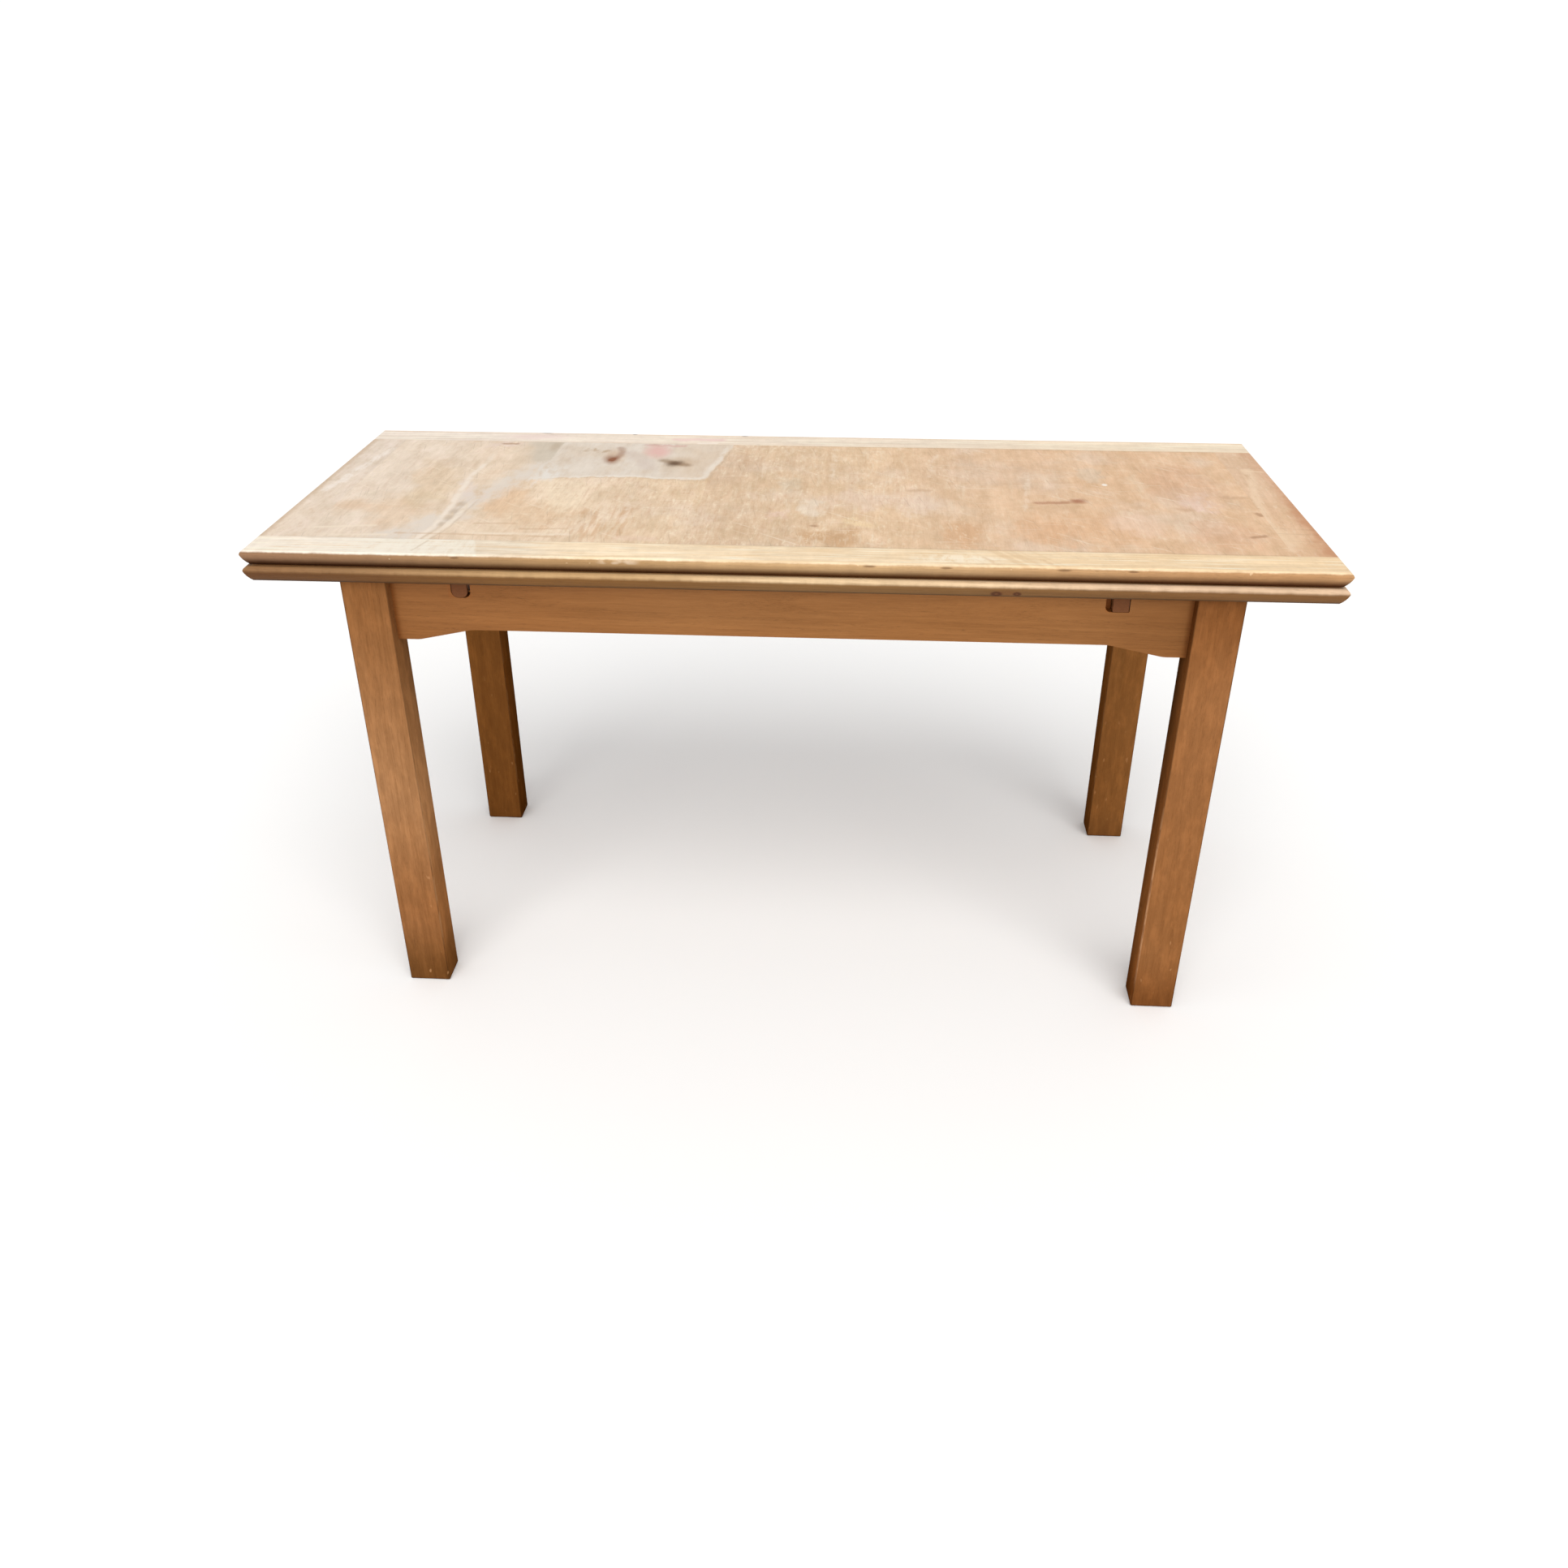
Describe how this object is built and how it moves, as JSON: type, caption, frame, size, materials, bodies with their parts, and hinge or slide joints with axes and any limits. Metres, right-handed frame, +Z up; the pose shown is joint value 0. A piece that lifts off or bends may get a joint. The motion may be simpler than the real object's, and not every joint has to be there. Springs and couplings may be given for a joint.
{
  "type": "draw leaf table",
  "caption": "Oak draw leaf dining table: a loose framed top over long leaves that slide out on runners from both long sides of a plain four-legged frame.",
  "frame": {"origin": "on the floor under the middle of the top", "axes": "+X along the long side, to the right seen from the front; +Y from the front to the back; +Z up"},
  "size_m": [1.508, 0.62, 0.76],
  "materials": {
    "leg_oak": "satin, worn clear finish",
    "apron_oak": "satin, worn clear finish",
    "top_rail_oak": "bare and worn on top, satin on the moulded edge",
    "top_veneer": "sun-bleached veneer, dull",
    "leaf_rail_oak": "satin",
    "leaf_veneer": "satin veneer",
    "runner_beech": "bare wood, darkened",
    "baize": "felt",
    "screw_steel": "dull"
  },
  "bodies": {
    "frame": {"leg_front_left": "leg_oak", "leg_front_right": "leg_oak", "leg_back_left": "leg_oak", "leg_back_right": "leg_oak", "apron_front": "apron_oak", "apron_back": "apron_oak", "apron_left": "apron_oak", "apron_right": "apron_oak", "centre_board": "runner_beech", "centre_board_screws": "screw_steel", "baize_strips": "baize", "runner_guides_left": "runner_beech", "runner_guides_right": "runner_beech", "guide_screws": "screw_steel"},
    "front_leaf": {"front_leaf_panel": "leaf_veneer", "front_leaf_outer_rail": "leaf_rail_oak", "front_leaf_inner_rail": "leaf_rail_oak", "front_leaf_left_rail": "leaf_rail_oak", "front_leaf_right_rail": "leaf_rail_oak", "front_runner_left": "runner_beech", "front_runner_right": "runner_beech", "front_runner_screws": "screw_steel", "front_runner_stops": "runner_beech", "front_stop_screws": "screw_steel"},
    "back_leaf": {"back_leaf_panel": "leaf_veneer", "back_leaf_outer_rail": "leaf_rail_oak", "back_leaf_inner_rail": "leaf_rail_oak", "back_leaf_left_rail": "leaf_rail_oak", "back_leaf_right_rail": "leaf_rail_oak", "back_runner_left": "runner_beech", "back_runner_right": "runner_beech", "back_runner_screws": "screw_steel", "back_runner_stops": "runner_beech", "back_stop_screws": "screw_steel"},
    "top": {"top_panel": "top_veneer", "top_rail_front": "top_rail_oak", "top_rail_back": "top_rail_oak", "top_rail_left": "top_rail_oak", "top_rail_right": "top_rail_oak", "top_pegs": "runner_beech", "peg_keepers": "runner_beech", "keeper_screws": "screw_steel"}
  },
  "joints": [
    {"name": "front_leaf_draw", "type": "slide", "parent": "frame", "child": "front_leaf", "axis": [0, -1, 0], "range_m": [0, 0.255]},
    {"name": "back_leaf_draw", "type": "slide", "parent": "frame", "child": "back_leaf", "axis": [0, 1, 0], "range_m": [0, 0.255]},
    {"name": "top_lift", "type": "slide", "parent": "frame", "child": "top", "axis": [0, 0, 1], "range_m": [0, 0.026]}
  ]
}
